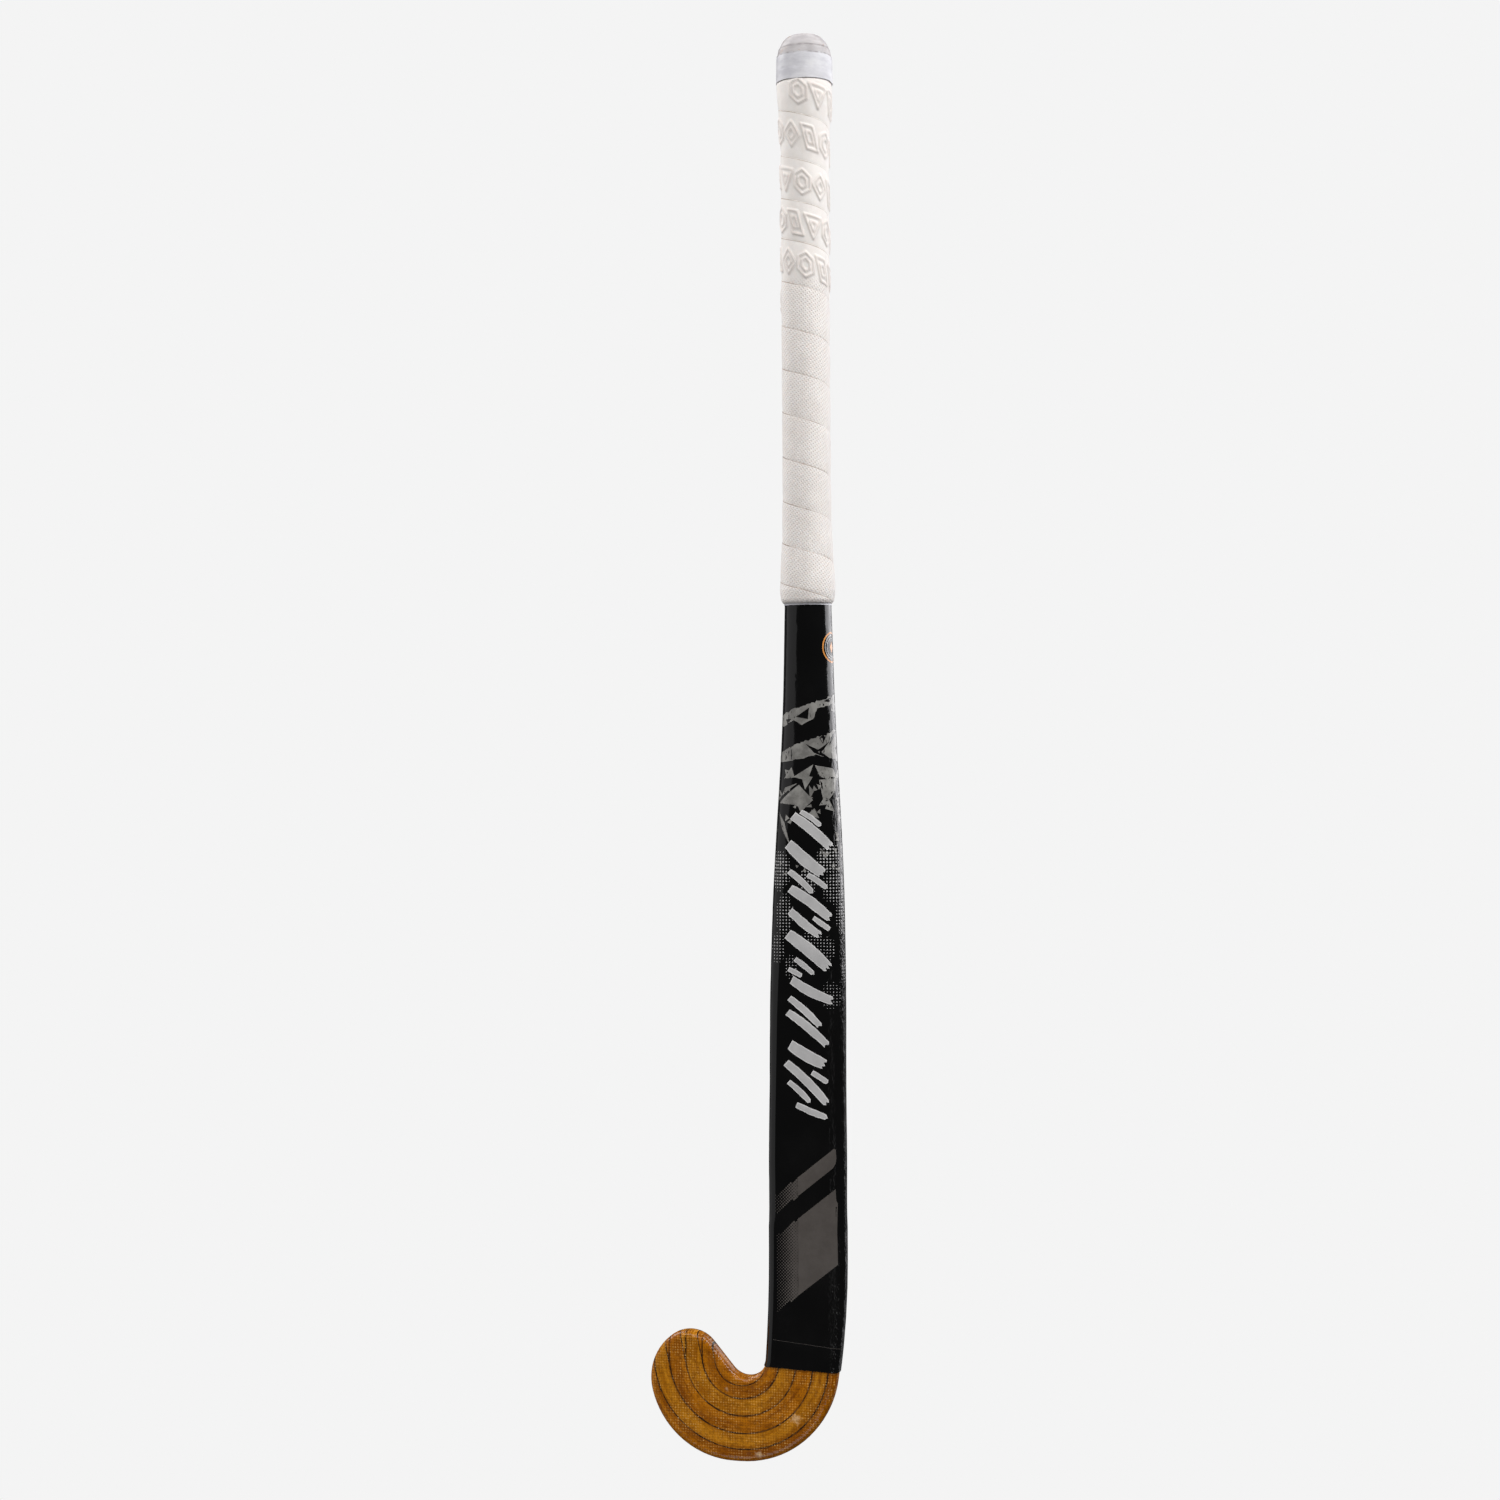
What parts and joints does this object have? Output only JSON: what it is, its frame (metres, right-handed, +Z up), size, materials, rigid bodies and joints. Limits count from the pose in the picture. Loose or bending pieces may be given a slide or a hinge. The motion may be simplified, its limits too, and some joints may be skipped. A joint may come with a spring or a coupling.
{
  "type": "field hockey stick",
  "caption": "Junior wooden field hockey stick with a laminated hooked head, black printed film on the shaft and a white wrapped grip.",
  "frame": {"origin": "on the stick's axis in the middle of the hand grip", "axes": "+Z up the stick to the butt, -Y out of the flat playing face, -X to the toe"},
  "size_m": [0.123, 0.0361, 0.864],
  "materials": {
    "mulberry_pale": "varnished, pale plies with glass cloth weave",
    "mulberry_dark": "varnished, darker plies with glass cloth weave",
    "dark_glue": "cured resin",
    "handle_wood": "plain planed",
    "damper_rubber": "matt",
    "glass_cloth": "resin soaked",
    "black_film": "gloss film with grey print",
    "chamois_grip": "soft chamois",
    "white_tape": "glossy tape",
    "print_grey": "metallic grey ink under the film gloss",
    "print_pale": "pale grey ink under the film gloss",
    "print_dark": "warm dark grey ink under the film gloss",
    "print_orange": "orange ink under the film gloss"
  },
  "bodies": {
    "root": {"ply_1_heel": "mulberry_dark", "ply_2": "mulberry_pale", "ply_3": "mulberry_dark", "ply_4": "mulberry_pale", "ply_5": "mulberry_dark", "ply_6_crook": "mulberry_dark", "glue_line_1": "dark_glue", "glue_line_2": "dark_glue", "glue_line_3": "dark_glue", "glue_line_4": "dark_glue", "glue_line_5": "dark_glue", "splice_glue": "dark_glue", "handle_stave_left": "handle_wood", "handle_stave_centre": "handle_wood", "handle_stave_right": "handle_wood", "handle_damper_left": "damper_rubber", "handle_damper_right": "damper_rubber", "glass_sleeve": "glass_cloth", "film_sleeve": "black_film", "film_lower_band": "black_film", "grip_base_tape": "white_tape", "grip_underlay": "chamois_grip", "grip_wrap": "chamois_grip", "end_tape_cover": "white_tape", "end_tape_middle": "white_tape", "end_tape_outer": "white_tape"}
  },
  "joints": []
}
